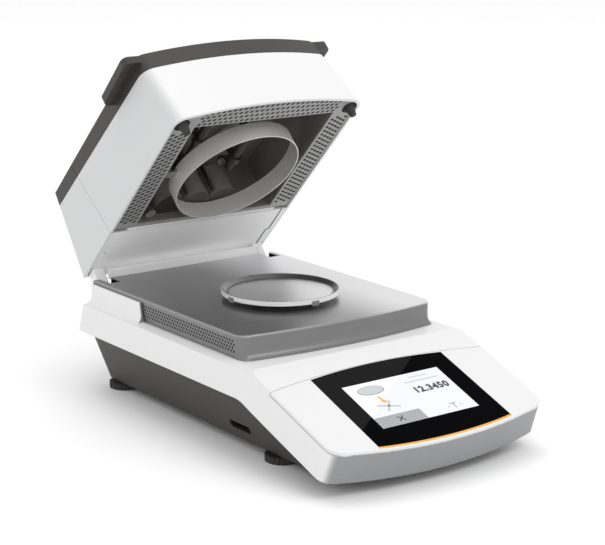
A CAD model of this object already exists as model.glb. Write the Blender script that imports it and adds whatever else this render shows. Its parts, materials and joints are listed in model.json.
import json
import math
import bpy
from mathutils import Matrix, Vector


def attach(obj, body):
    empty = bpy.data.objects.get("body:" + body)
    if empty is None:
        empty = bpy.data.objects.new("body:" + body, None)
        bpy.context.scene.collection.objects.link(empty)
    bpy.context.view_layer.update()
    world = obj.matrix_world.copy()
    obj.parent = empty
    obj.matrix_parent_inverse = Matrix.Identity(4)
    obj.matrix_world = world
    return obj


# Looks of the moisture analyzer. Metres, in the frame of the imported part.
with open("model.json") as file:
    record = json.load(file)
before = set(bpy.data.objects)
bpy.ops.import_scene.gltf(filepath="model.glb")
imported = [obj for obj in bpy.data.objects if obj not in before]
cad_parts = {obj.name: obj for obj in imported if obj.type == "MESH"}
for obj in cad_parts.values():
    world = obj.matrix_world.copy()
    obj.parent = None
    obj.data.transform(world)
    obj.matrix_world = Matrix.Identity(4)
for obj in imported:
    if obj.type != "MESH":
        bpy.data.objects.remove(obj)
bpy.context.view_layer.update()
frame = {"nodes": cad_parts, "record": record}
nodes = frame["nodes"]
MM = 0.001
HINGE_Y, HINGE_Z = 143.7, 69.4       # hinge axis of the hood, in millimetres
UNDERSIDE = 36.1                     # height of the closed hood's underside over the hinge axis
CORNER = 0.55                        # how far the hood's lower rear corner lies behind the axis
SLOPE_Y, SLOPE_Z = -103.4, 77.5      # upper edge of the display slope
PAN_Y = 3.0                          # the pan's axis
SLIT_PITCH, ROW_STEP = 5.2, 4.4      # slits of the frame


# Materials
def material(name, colour, rough, metal=0.0, mottle=0.04, scale=260.0, stretch=(1, 1, 1), bump=0.15, depth=0.02,
             grain=1800.0, edge=0.0, coat=0.0, spread=0.06, dark=None, dark_scale=14.0, specular=0.5):
    """Procedural finish: mottled colour, uneven roughness, two scales of relief and softened edges."""
    mat = bpy.data.materials.new(name)
    mat.use_nodes = True
    tree = mat.node_tree
    shader = tree.nodes["Principled BSDF"]
    link = tree.links.new

    def node(kind, **values):
        made = tree.nodes.new(kind)
        for key, value in values.items():
            made.inputs[key].default_value = value
        return made

    place = tree.nodes.new("ShaderNodeTexCoord")
    mapping = node("ShaderNodeMapping", Scale=stretch)
    link(place.outputs["Object"], mapping.inputs["Vector"])
    coarse = node("ShaderNodeTexNoise", Scale=scale, Detail=4.0, Roughness=0.55)
    fine = node("ShaderNodeTexNoise", Scale=grain, Detail=2.0, Roughness=0.6)
    for made in (coarse, fine):
        link(mapping.outputs["Vector"], made.inputs["Vector"])
    tint = tree.nodes.new("ShaderNodeMix")
    tint.data_type = "RGBA"
    tint.inputs[6].default_value = (*[c * (1 - mottle) for c in colour], 1)
    tint.inputs[7].default_value = (*[min(1, c * (1 + mottle)) for c in colour], 1)
    link(coarse.outputs["Fac"], tint.inputs[0])
    result = tint.outputs[2]
    if dark:
        cloud = node("ShaderNodeTexNoise", Scale=dark_scale, Detail=3.0)
        link(place.outputs["Object"], cloud.inputs["Vector"])
        wide_tint = tree.nodes.new("ShaderNodeMix")
        wide_tint.data_type = "RGBA"
        wide_tint.inputs[7].default_value = (*dark, 1)
        link(result, wide_tint.inputs[6])
        spot = node("ShaderNodeMapRange", **{"From Min": 0.45, "From Max": 0.75, "To Min": 0.0, "To Max": 0.6})
        link(cloud.outputs["Fac"], spot.inputs["Value"])
        link(spot.outputs["Result"], wide_tint.inputs[0])
        result = wide_tint.outputs[2]
    link(result, shader.inputs["Base Color"])
    uneven = node("ShaderNodeMapRange", **{"To Min": rough - spread, "To Max": rough + spread})
    link(coarse.outputs["Fac"], uneven.inputs["Value"])
    link(uneven.outputs["Result"], shader.inputs["Roughness"])
    relief = node("ShaderNodeBump", Strength=bump, Distance=depth * MM)
    link(fine.outputs["Fac"], relief.inputs["Height"])
    swell = node("ShaderNodeBump", Strength=bump * 0.5, Distance=depth * MM * 4)
    link(coarse.outputs["Fac"], swell.inputs["Height"])
    link(swell.outputs["Normal"], relief.inputs["Normal"])
    if edge:
        soft = tree.nodes.new("ShaderNodeBevel")
        soft.samples = 6
        soft.inputs["Radius"].default_value = edge * MM
        link(soft.outputs["Normal"], swell.inputs["Normal"])
    link(relief.outputs["Normal"], shader.inputs["Normal"])
    shader.inputs["Metallic"].default_value = metal
    shader.inputs["Coat Weight"].default_value = coat
    shader.inputs["Specular IOR Level"].default_value = specular
    return mat


def white_finish(name):
    """The light plastic of the housing and the hood."""
    return material(name, (0.77, 0.77, 0.77), 0.42, edge=0.7, mottle=0.012, bump=0.08, coat=0.06)


finish = {
    "white_plastic": white_finish("white_plastic"),
    "panel_plastic": material("panel_plastic", (0.77, 0.77, 0.775), 0.40, edge=0.5, mottle=0.012, bump=0.08,
                              coat=0.06),
    "hood_liner": material("hood_liner", (0.84, 0.84, 0.845), 0.45, edge=1.2, mottle=0.02, bump=0.08),
    "dark_plastic": material("dark_plastic", (0.030, 0.027, 0.025), 0.50, edge=0.8, mottle=0.10, bump=0.3,
                             depth=0.04),
    "black_glass": material("black_glass", (0.002, 0.002, 0.0025), 0.10, mottle=0.02, bump=0.01, spread=0.03,
                            specular=0.10),
    "screen": material("screen", (0.80, 0.82, 0.83), 0.22, mottle=0.01, bump=0.03, spread=0.03),
    "accent": material("accent", (0.90, 0.38, 0.010), 0.35, mottle=0.03, bump=0.05, edge=0.2),
    "steel_sheet": material("steel_sheet", (0.56, 0.565, 0.57), 0.36, metal=0.9, mottle=0.02, scale=60.0,
                            edge=0.5, bump=0.02, depth=0.006, grain=900.0, spread=0.02),
    "chamber_steel": material("chamber_steel", (0.21, 0.203, 0.185), 0.46, metal=0.4, mottle=0.10, scale=90.0,
                              dark=(0.10, 0.095, 0.082), bump=0.12, depth=0.03, edge=0.3, spread=0.08),
    "frame_sheet": material("frame_sheet", (0.33, 0.33, 0.325), 0.50, metal=0.2, mottle=0.04, bump=0.15,
                            edge=0.15),
    "pan_aluminium": material("pan_aluminium", (0.74, 0.74, 0.74), 0.30, metal=0.9, mottle=0.04, scale=200.0,
                              bump=0.08, depth=0.01, edge=0.3),
    "cast_alloy": material("cast_alloy", (0.40, 0.40, 0.41), 0.45, metal=0.9, mottle=0.08, bump=0.3,
                           depth=0.04, edge=0.5),
    "rubber": material("rubber", (0.028, 0.027, 0.027), 0.70, mottle=0.15, bump=0.4, depth=0.05, edge=0.3),
    "zinc_steel": material("zinc_steel", (0.62, 0.63, 0.64), 0.24, metal=1.0, mottle=0.08, bump=0.1, edge=0.2),
    "quartz": material("quartz", (0.16, 0.15, 0.135), 0.25, mottle=0.08, bump=0.1, coat=0.3),
    "circuit_board": material("circuit_board", (0.02, 0.14, 0.06), 0.38, mottle=0.25, scale=500.0, bump=0.3,
                              edge=0.2),
    "black_socket": material("black_socket", (0.02, 0.02, 0.02), 0.42, mottle=0.10, bump=0.2, edge=0.3),
    "brass": material("brass", (0.70, 0.52, 0.22), 0.30, metal=1.0, mottle=0.08, bump=0.1, edge=0.2),
}
extra = {
    "void": material("void", (0.006, 0.006, 0.006), 0.8, mottle=0.2, bump=0.2),
    "ink": material("ink", (0.02, 0.02, 0.022), 0.35, mottle=0.05, bump=0.02),
    "ink_grey": material("ink_grey", (0.30, 0.31, 0.32), 0.35, mottle=0.03, bump=0.02),
    "button_grey": material("button_grey", (0.36, 0.365, 0.37), 0.30, mottle=0.02, bump=0.02),
    "icon_pale": material("icon_pale", (0.55, 0.57, 0.58), 0.35, mottle=0.06, scale=120.0, bump=0.02),
    "braid": material("braid", (0.20, 0.19, 0.17), 0.45, metal=0.8, mottle=0.3, scale=900.0, bump=0.6,
                      depth=0.1),
}
slot_of = {entry["node"]: entry["material_slot"] for entry in frame["record"]["subparts"]}
for name, obj in nodes.items():
    for place in obj.material_slots:
        place.material = finish[slot_of[name]]
for name in ("hinge_arm_left", "hinge_arm_right", "arm_screws"):
    nodes[name].material_slots[0].material = finish["hood_liner"]
extra["dark_fitting"] = material("dark_fitting", (0.10, 0.095, 0.085), 0.40, metal=0.7, mottle=0.15, bump=0.2,
                                 edge=0.2)
for name in ("heater_clips", "heater_straps", "infrared_heater"):
    nodes[name].material_slots[0].material = extra["dark_fitting"]
extra["ring_steel"] = material("ring_steel", (0.74, 0.73, 0.72), 0.40, metal=0.55, mottle=0.05, scale=60.0,
                               bump=0.03, depth=0.006, edge=0.2)
nodes["guard_ring"].material_slots[0].material = extra["ring_steel"]


def surface(mat):
    """Node tree of a material, its shader and the socket that feeds the shader's base colour."""
    tree = mat.node_tree
    shader = tree.nodes["Principled BSDF"]
    return tree, shader, shader.inputs["Base Color"].links[0].from_socket


def coordinate(mat, output="Object"):
    """Texture coordinate socket of the material."""
    return mat.node_tree.nodes.new("ShaderNodeTexCoord").outputs[output]


def along(mat, vector, direction):
    """Length of a vector socket along a direction."""
    tree = mat.node_tree
    dot = tree.nodes.new("ShaderNodeVectorMath")
    dot.operation = "DOT_PRODUCT"
    dot.inputs[1].default_value = direction
    tree.links.new(vector, dot.inputs[0])
    return dot.outputs["Value"]


def ramp(mat, value, low, high, smooth=False):
    """0 below the low value and 1 above the high one."""
    tree = mat.node_tree
    step = tree.nodes.new("ShaderNodeMapRange")
    if smooth:
        step.interpolation_type = "SMOOTHSTEP"
    step.inputs["From Min"].default_value = low
    step.inputs["From Max"].default_value = high
    tree.links.new(value, step.inputs["Value"])
    return step.outputs["Result"]


def colour_mix(mat, factor, first, second, blend="MIX"):
    """Mix of two colours, each a socket or a plain colour, by a socket or a number."""
    tree = mat.node_tree
    mixed = tree.nodes.new("ShaderNodeMix")
    mixed.data_type = "RGBA"
    mixed.blend_type = blend
    for place, value in ((0, factor), (6, first), (7, second)):
        if isinstance(value, bpy.types.NodeSocket):
            tree.links.new(value, mixed.inputs[place])
        else:
            mixed.inputs[place].default_value = value
    return mixed.outputs[2]


def tint_base(mat, factor, colour):
    """Mixes a colour over what feeds the base colour."""
    tree, shader, source = surface(mat)
    tree.links.new(colour_mix(mat, factor, source, colour), shader.inputs["Base Color"])


def facing_shade(mat, direction, low, high, colour):
    """Mixes a colour in where the surface faces a direction of its own object."""
    facing = along(mat, coordinate(mat, "Normal"), direction)
    tint_base(mat, ramp(mat, facing, low, high, smooth=True), colour)


# The chamber plate's top goes from dark on the left to light on the right, and its skirt is dark
steel = finish["steel_sheet"]
tree, shader, source = surface(steel)
sheen = ramp(steel, along(steel, coordinate(steel), (1.0, 0.06, 0.0)), -0.005, 0.075, smooth=True)
glow = colour_mix(steel, sheen, (0.36, 0.36, 0.36, 1), (0.88, 0.88, 0.89, 1))
tone = colour_mix(steel, 0.35, glow, source, blend="MULTIPLY")
level = ramp(steel, along(steel, coordinate(steel), (0, 0, 1)), 0.0945, 0.0962)
tree.links.new(colour_mix(steel, level, (0.21, 0.21, 0.21, 1), tone), shader.inputs["Base Color"])

# The nose under the display panel and the sides of the hood are greyer than the tops
extra["nose_plastic"] = white_finish("nose_plastic")
facing_shade(extra["nose_plastic"], (0, -0.93, -0.36), 0.45, 0.90, (0.27, 0.275, 0.28, 1))
nodes["upper_housing"].material_slots[0].material = extra["nose_plastic"]
extra["shell_plastic"] = white_finish("shell_plastic")
facing_shade(extra["shell_plastic"], (-1, 0, 0), 0.30, 0.98, (0.60, 0.605, 0.61, 1))
facing_shade(extra["shell_plastic"], (1, 0, 0), 0.30, 0.98, (0.60, 0.605, 0.61, 1))
for name in ("hood_front_shell", "hood_rear_shell"):
    nodes[name].material_slots[0].material = extra["shell_plastic"]

# A low index keeps the black glass deep
finish["black_glass"].node_tree.nodes["Principled BSDF"].inputs["IOR"].default_value = 1.09

# Dark ends of the lead cover's lobes, and a darker slanting wall of the pan
extra["lobe_steel"] = material("lobe_steel", (0.25, 0.242, 0.22), 0.46, metal=0.4, mottle=0.10, scale=90.0,
                               dark=(0.12, 0.112, 0.10), bump=0.12, depth=0.03, edge=0.3, spread=0.08)
facing_shade(extra["lobe_steel"], (0, -0.712, -0.702), 0.90, 0.98, (0.035, 0.033, 0.03, 1))
nodes["lead_cover"].material_slots[0].material = extra["lobe_steel"]
pan_mat = finish["pan_aluminium"]
flat = pan_mat.node_tree.nodes.new("ShaderNodeVectorMath")
flat.operation = "MULTIPLY_ADD"
flat.inputs[1].default_value = (1, 1, 0)
flat.inputs[2].default_value = (0, -PAN_Y * MM, 0)
pan_mat.node_tree.links.new(coordinate(pan_mat), flat.inputs[0])
reach = pan_mat.node_tree.nodes.new("ShaderNodeVectorMath")
reach.operation = "LENGTH"
pan_mat.node_tree.links.new(flat.outputs[0], reach.inputs[0])
tint_base(pan_mat, ramp(pan_mat, reach.outputs["Value"], 0.0425, 0.0448), (0.24, 0.24, 0.24, 1))

# The glass and the screen show the soft edge of a reflected wall as a slanting line
GLOSS_A, GLOSS_B = Vector((0.0392, -0.1247)), Vector((-0.0655, -0.1923))
gloss = (GLOSS_B - GLOSS_A).normalized()
side = Vector((gloss.y, -gloss.x))
offset = side.dot(GLOSS_A)
for name, share in (("black_glass", 0.014), ("screen", 0.88)):
    across = along(finish[name], coordinate(finish[name]), (side.x, side.y, 0))
    behind = ramp(finish[name], across, offset - 0.0004, offset + 0.0004)
    tint_base(finish[name], behind, (share, share, share, 1))

# Frames of reference on the part
OPEN = math.radians(45.4)
SLOPE = math.radians(19.9)


def hood(x, depth, v):
    """Point of the open hood, in millimetres: side, depth from its rear corner, height over its underside."""
    c, s = math.cos(OPEN), math.sin(OPEN)
    y = HINGE_Y + CORNER * c + UNDERSIDE * s - depth * c + v * s
    z = HINGE_Z - CORNER * s + UNDERSIDE * c + depth * s + v * c
    return Vector((x, y, z)) * MM


def slope(x, y, lift=0.0):
    """Point on the display slope, y along the slope from its upper edge, in millimetres."""
    c, s = math.cos(SLOPE), math.sin(SLOPE)
    return Vector((x, SLOPE_Y + y * c - lift * s, SLOPE_Z + y * s + lift * c)) * MM


def mesh_piece(name, verts, faces, mat, body, smooth=False):
    """Mesh from points in metres, riding on a body when one is named."""
    data = bpy.data.meshes.new(name)
    data.from_pydata([tuple(v) for v in verts], [], faces)
    data.update()
    if smooth:
        data.polygons.foreach_set("use_smooth", [True] * len(data.polygons))
    data.materials.append(mat)
    obj = bpy.data.objects.new(name, data)
    bpy.context.scene.collection.objects.link(obj)
    if body:
        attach(obj, body)
    return obj


def ring(cx, cy, rx, ry, count=48):
    """Points round an ellipse."""
    return [(cx + rx * math.cos(2 * math.pi * k / count), cy + ry * math.sin(2 * math.pi * k / count))
            for k in range(count)]


def plate_piece(name, outlines, place, thick, mat, body):
    """Flat pieces of a given thickness from outlines, laid by the place function."""
    verts, faces = [], []
    for outline in outlines:
        count = len(outline)
        first = len(verts)
        verts += [place(x, y, 0.0) for x, y in outline] + [place(x, y, thick) for x, y in outline]
        faces.append(tuple(range(first + count - 1, first - 1, -1)))
        faces.append(tuple(range(first + count, first + 2 * count)))
        for i in range(count):
            j = (i + 1) % count
            faces.append((first + i, first + j, first + count + j, first + count + i))
    return mesh_piece(name, verts, faces, mat, body)


def tube_piece(name, paths, radius, mat, body, sides=12, ribs=0.0, pitch=1.0, flat=1.0):
    """Round or flattened tubes along paths of points in metres, ribbed when ribs is given."""
    verts, faces = [], []
    for path in paths:
        fine = []
        for a, b in zip(path, path[1:]):
            steps = max(1, int((b - a).length / (pitch * MM * 0.5))) if ribs else 1
            fine += [a.lerp(b, k / steps) for k in range(steps)]
        fine.append(path[-1])
        first = len(verts)
        up = Vector((1, 0, 0))
        for i, point in enumerate(fine):
            ahead = (fine[min(i + 1, len(fine) - 1)] - fine[max(i - 1, 0)]).normalized()
            side = ahead.cross(up).normalized()
            other = side.cross(ahead)
            r = radius * MM * (1 + ribs * (i % 2))
            for k in range(sides):
                a = 2 * math.pi * k / sides
                verts.append(point + side * r * flat * math.sin(a) + other * r * math.cos(a))
        for i in range(len(fine) - 1):
            for k in range(sides):
                j = (k + 1) % sides
                a, b = first + i * sides, first + (i + 1) * sides
                faces.append((a + k, a + j, b + j, b + k))
        faces.append(tuple(range(first + sides - 1, first - 1, -1)))
        last = first + (len(fine) - 1) * sides
        faces.append(tuple(range(last, last + sides)))
    return mesh_piece(name, verts, faces, mat, body, smooth=True)


def lathe_piece(name, profile, centre, axis, mat, body, sides=48):
    """Turned piece from (radius, height) pairs in millimetres about an axis through centre."""
    axis = Vector(axis).normalized()
    side = axis.orthogonal().normalized()
    other = axis.cross(side)
    verts, faces = [], []
    for radius, height in profile:
        for k in range(sides):
            a = 2 * math.pi * k / sides
            verts.append(centre + (axis * height + (side * math.cos(a) + other * math.sin(a)) * radius) * MM)
    for i in range(len(profile) - 1):
        for k in range(sides):
            j = (k + 1) % sides
            faces.append((i * sides + k, i * sides + j, (i + 1) * sides + j, (i + 1) * sides + k))
    faces.append(tuple(range(sides - 1, -1, -1)))
    faces.append(tuple(range((len(profile) - 1) * sides, len(profile) * sides)))
    return mesh_piece(name, verts, faces, mat, body, smooth=True)


# Dark mat behind the perforated frame
def bow(x):
    """How far the frame's bowed front edge stands out at x."""
    return 11.5 * (1 - (x / 94.5) ** 2)


strips = []
for side in (-1, 1):
    strips.append([(side * 71.8, 72), (side * 90.6, 72), (side * 90.6, 208), (side * 71.8, 208)])
xs = [-84 + 12 * k for k in range(15)]
strips.append([(x, 212.2) for x in xs] + [(x, 219.5 + bow(x)) for x in reversed(xs)])
plate_piece("frame_backing", strips, lambda x, y, t: hood(x, y, 2.6 + t), 0.4, extra["void"], "hood")

# Dark slits: on the sides they lie over the frame's real openings, at the front on a strip that hides them
slits = []
centre = -(210.7 + 75.1) / 2
for row in range(4):
    shift = (row - 1.5) * ROW_STEP
    for k in range(24):
        depth = -(centre + (row % 2) * SLIT_PITCH / 2 + (k - 11.5) * SLIT_PITCH)
        for side in (-1, 1):
            x = side * (81.25 - shift)
            lean = 0.7 * side
            slits.append([(x - 1.7, depth - 1.15 + lean), (x + 1.7, depth - 1.15 - lean),
                          (x + 1.7, depth + 1.15 - lean), (x - 1.7, depth + 1.15 + lean)])
for row in range(4):
    for k in range(27):
        x = (k - 13 + (row % 2) / 2) * SLIT_PITCH
        depth = 213.6 + row * 3.9 + 4.6 * (1 - (x / 72) ** 2) * row / 3
        if abs(x) < 73:
            slits.append([(x - 2.0, depth - 1.3), (x + 0.6, depth - 1.4),
                          (x + 2.0, depth + 1.3), (x - 0.6, depth + 1.4)])
plate_piece("frame_slits", slits, lambda x, y, t: hood(x, y, 0.88 + t), 0.05, extra["void"], "hood")
xs = [-76 + 8 * k for k in range(20)]
strip = [(x, 211.4) for x in xs] + [(x, 219.3 + bow(x)) for x in reversed(xs)]
plate_piece("frame_front_strip", [strip], lambda x, y, t: hood(x, y, 0.96 + t), 0.025,
            finish["frame_sheet"], "hood")

# Dark seats round the bumpers
seats = [ring(side * 84.6, 215.6, 7.0, 7.0, 28) for side in (-1, 1)]
plate_piece("bumper_seats", seats, lambda x, y, t: hood(x, y, 0.86 + t), 0.08, extra["void"], "hood")

# Ventilation dots in both sides of the chamber plate's skirt
dots = []
for row in range(4):
    for k in range(35):
        y = 64.5 - k * 3.9 - (row % 2) * 1.95
        z = 91.3 - row * 2.75
        dots.append(ring(y, z, 1.15, 1.1, 12))
for side, name in ((-1, "left"), (1, "right")):
    plate_piece("skirt_grille_" + name, dots, lambda y, z, t, s=side: Vector((s * (96.71 + t), y, z)) * MM,
                0.04, extra["void"], "base")

# Light cover of the hinge gap, fixed to the base just under the hood's turning underside
profile = [(149.3, 95.0), (149.3, 103.3)]
for k in range(5):
    a = math.radians(79.5 - 1.3 * k)
    profile.append((HINGE_Y + 35.4 * math.cos(a), HINGE_Z + 35.4 * math.sin(a)))
profile.append((153.3, 95.0))
plate_piece("hinge_cover", [profile], lambda y, z, t: Vector((t - 79.3, y, z)) * MM, 158.6,
            finish["hood_liner"], "base")

# Light skin over the arm screws and the ledges of the open hood
skin = [(-90.6, 2.0), (90.6, 2.0), (91.5, 69.0), (-91.5, 69.0)]
plate_piece("rear_skin", [skin], lambda x, y, t: hood(x, y, -0.30 + t), 0.25, finish["hood_liner"], "hood")

# Bright upright band round the pan
extra["bright_band"] = material("bright_band", (0.93, 0.93, 0.93), 0.30, metal=0.3, mottle=0.03, bump=0.03,
                                edge=0.1)
facing_shade(extra["bright_band"], (1, 0, 0), 0.55, 0.95, (0.30, 0.30, 0.30, 1))
lathe = [(49.35, 101.9), (49.75, 101.9), (49.75, 105.7), (49.35, 105.7), (49.35, 101.9)]
verts = []
faces = []
for radius, height in lathe:
    for k in range(96):
        a = 2 * math.pi * k / 96
        verts.append(Vector((radius * math.cos(a), PAN_Y + radius * math.sin(a), height)) * MM)
for i in range(4):
    for k in range(96):
        j = (k + 1) % 96
        faces.append((i * 96 + k, i * 96 + j, (i + 1) * 96 + j, (i + 1) * 96 + k))
mesh_piece("pan_band", verts, faces, extra["bright_band"], "sample_pan")

# Display art: generic pictures and numbers laid on the screen
LIFT = 0.06


def on_screen(x, y, t):
    """Point on the screen, a little above its glass."""
    return slope(x, y, LIFT + t)


def bar(x0, y0, x1, y1, width):
    """Outline of a straight bar between two points."""
    dx, dy = x1 - x0, y1 - y0
    n = math.hypot(dx, dy)
    px, py = -dy / n * width / 2, dx / n * width / 2
    return [(x0 + px, y0 + py), (x1 + px, y1 + py), (x1 - px, y1 - py), (x0 - px, y0 - py)]


plate_piece("icon_button", [[(-47.3, -97.5), (-3.4, -97.5), (-3.4, -85.0), (-47.3, -85.0)]], on_screen, 0.02,
            extra["button_grey"], "base")
plate_piece("icon_pan_rim", [ring(-26.6, -53.0, 12.6, 5.6)], on_screen, 0.02, extra["ink_grey"], "base")
plate_piece("icon_pan", [ring(-26.6, -52.8, 11.9, 5.0)], lambda x, y, t: slope(x, y, LIFT + 0.03 + t), 0.02,
            extra["icon_pale"], "base")
plate_piece("icon_support", [bar(-34.5, -71.5, -15.5, -77.5, 2.0), bar(-20.5, -68.5, -29.0, -80.5, 2.0)],
            on_screen, 0.02, extra["icon_pale"], "base")
plate_piece("icon_arrow", [bar(-26.2, -61.2, -24.8, -67.4, 1.6),
                           [(-27.6, -66.6), (-22.2, -67.9), (-24.6, -70.6)]], on_screen, 0.02,
            finish["accent"], "base")
plate_piece("icon_cross", [bar(-28.2, -88.4, -22.4, -94.0, 1.0), bar(-22.4, -88.4, -28.2, -94.0, 1.0)],
            lambda x, y, t: slope(x, y, LIFT + 0.03 + t), 0.02, extra["ink"], "base")
plate_piece("icon_tare", [bar(25.0, -88.0, 31.0, -88.0, 0.9), bar(28.0, -88.0, 28.0, -94.0, 0.9),
                          bar(21.5, -91.0, 22.6, -91.0, 0.9), bar(33.4, -91.0, 34.5, -91.0, 0.9)],
            on_screen, 0.02, extra["ink_grey"], "base")
plate_piece("icon_lines", [bar(14.5, -48.2, 33.0, -48.2, 1.1), bar(7.0, -53.4, 40.5, -53.4, 1.1)], on_screen,
            0.02, extra["icon_pale"], "base")


def number_piece(name, text, x, y, size, mat):
    """Bold plain number lying on the screen."""
    curve = bpy.data.curves.new(name, "FONT")
    curve.body = text
    curve.size = size * MM
    curve.offset = 0.045 * size * MM
    curve.space_character = 1.12
    curve.extrude = 0.01 * MM
    source = bpy.data.objects.new(name, curve)
    bpy.context.scene.collection.objects.link(source)
    bpy.context.view_layer.update()
    data = bpy.data.meshes.new_from_object(source)
    bpy.data.objects.remove(source)
    for vertex in data.vertices:
        vertex.co = slope(x + vertex.co.x / MM, y + vertex.co.y / MM, LIFT + 0.02 + vertex.co.z / MM)
    data.materials.clear()
    data.materials.append(mat)
    obj = bpy.data.objects.new(name, data)
    bpy.context.scene.collection.objects.link(obj)
    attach(obj, "base")


number_piece("display_digits", "12.3450", 8.0, -67.4, 9.6, extra["ink"])

# Stepped joints in the light inner panel
joints = []
for path in ([(86.3, 68.8), (87.3, 36.7), (83.9, 36.4), (84.7, 9.4), (77.9, 9.4), (77.3, 2.2)],
             [(-84.6, 11.4), (-78.7, 11.0), (-76.5, 2.2)], [(-87.9, 36.9), (-86.7, 36.9)]):
    joints += [bar(*first, *last, 1.3) for first, last in zip(path, path[1:])]
plate_piece("panel_joints", joints, lambda x, y, t: hood(x, y, -0.36 + t), 0.05, extra["void"], "hood")

# Braided straps, studs and loops in the heating chamber
long_strap = [hood(24, 160, 46), hood(16, 138, 47), hood(4, 120, 45), hood(-4, 104, 42), hood(-8, 98, 36.6)]
tube_piece("braided_strap_long", [long_strap], 1.7, extra["braid"], "hood", sides=10, ribs=0.18, pitch=1.6,
           flat=0.5)
tube_piece("braided_strap_short", [[hood(-14, 112, 44), hood(-20, 102, 41), hood(-22, 98, 36.6)]],
           1.5, extra["braid"], "hood", sides=10, ribs=0.18, pitch=1.6, flat=0.5)

loops = []
for x in (-12, 15):
    loops.append([hood(x + 4.2 * math.cos(a), 80.5 + 4.2 * math.sin(a), 8.5) for a in
                  [2 * math.pi * k / 24 for k in range(25)]])
tube_piece("cover_loops", loops, 0.9, extra["dark_fitting"], "hood", sides=8)
grooves = [[hood(x, 100.0, 9.4), hood(x, 100.0, 35.6)] for x in (-25.5, 1.5)]
tube_piece("cover_grooves", grooves, 1.6, extra["void"], "hood", sides=8)
lathe_piece("wall_stud", [(3.2, 0), (3.2, 4), (2.4, 4.6), (2.4, 11), (1.8, 11.6)], hood(-66, 165, 30),
            (1, 0, 0), finish["zinc_steel"], "hood", sides=24)

# Camera at the photo's place
scene = bpy.context.scene
camera_data = bpy.data.cameras.new("camera")
camera_data.lens = 104.13
camera_data.sensor_width = 36.0
camera_data.clip_start = 0.05
camera_data.clip_end = 60
camera = bpy.data.objects.new("camera", camera_data)
camera.location = Vector((-828.84, -1157.55, 463.72)) * MM
aim = Vector((-155.44, -240.3, 188.12)) * MM - camera.location
camera.rotation_euler = aim.to_track_quat("-Z", "Y").to_euler()
scene.collection.objects.link(camera)
scene.camera = camera

# Pale floor, white surroundings and soft lamps
floor_mat = material("floor_paper", (0.97, 0.97, 0.97), 0.75, mottle=0.004, scale=40.0, bump=0.02, specular=0.1)
floor = mesh_piece("floor", [Vector((-9, -9, 0)), Vector((9, -9, 0)), Vector((9, 9, 0)), Vector((-9, 9, 0))],
                   [(0, 1, 2, 3)], floor_mat, None)
world = bpy.data.worlds.new("studio")
scene.world = world
world.use_nodes = True
tree = world.node_tree
tree.nodes.clear()
out = tree.nodes.new("ShaderNodeOutputWorld")
soft = tree.nodes.new("ShaderNodeBackground")
soft.inputs["Color"].default_value = (1.0, 1.0, 1.0, 1)
soft.inputs["Strength"].default_value = 1.0
seen = tree.nodes.new("ShaderNodeBackground")
seen.inputs["Strength"].default_value = 1.0
seen.inputs["Color"].default_value = (1, 1, 1, 1)
path = tree.nodes.new("ShaderNodeLightPath")
largest = tree.nodes.new("ShaderNodeMath")
largest.operation = "MAXIMUM"
tree.links.new(path.outputs["Is Camera Ray"], largest.inputs[0])
tree.links.new(path.outputs["Is Transmission Ray"], largest.inputs[1])
mix = tree.nodes.new("ShaderNodeMixShader")
tree.links.new(largest.outputs[0], mix.inputs[0])
tree.links.new(soft.outputs[0], mix.inputs[1])
tree.links.new(seen.outputs[0], mix.inputs[2])
tree.links.new(mix.outputs[0], out.inputs["Surface"])


def lamp(name, place, target, size, power):
    """Round soft lamp that looks at a target, in metres and watts."""
    data = bpy.data.lights.new(name, "AREA")
    data.shape = "DISK"
    data.size = size
    data.energy = power
    obj = bpy.data.objects.new(name, data)
    obj.location = Vector(place)
    obj.rotation_euler = (Vector(target) - obj.location).to_track_quat("-Z", "Y").to_euler()
    scene.collection.objects.link(obj)


lamp("key_lamp", (0.6, -1.7, 2.2), (0, 0, 0.1), 1.4, 9)
lamp("top_lamp", (0.1, 0.4, 2.6), (0, 0, 0.1), 1.6, 8)
scene.view_settings.view_transform = "Standard"
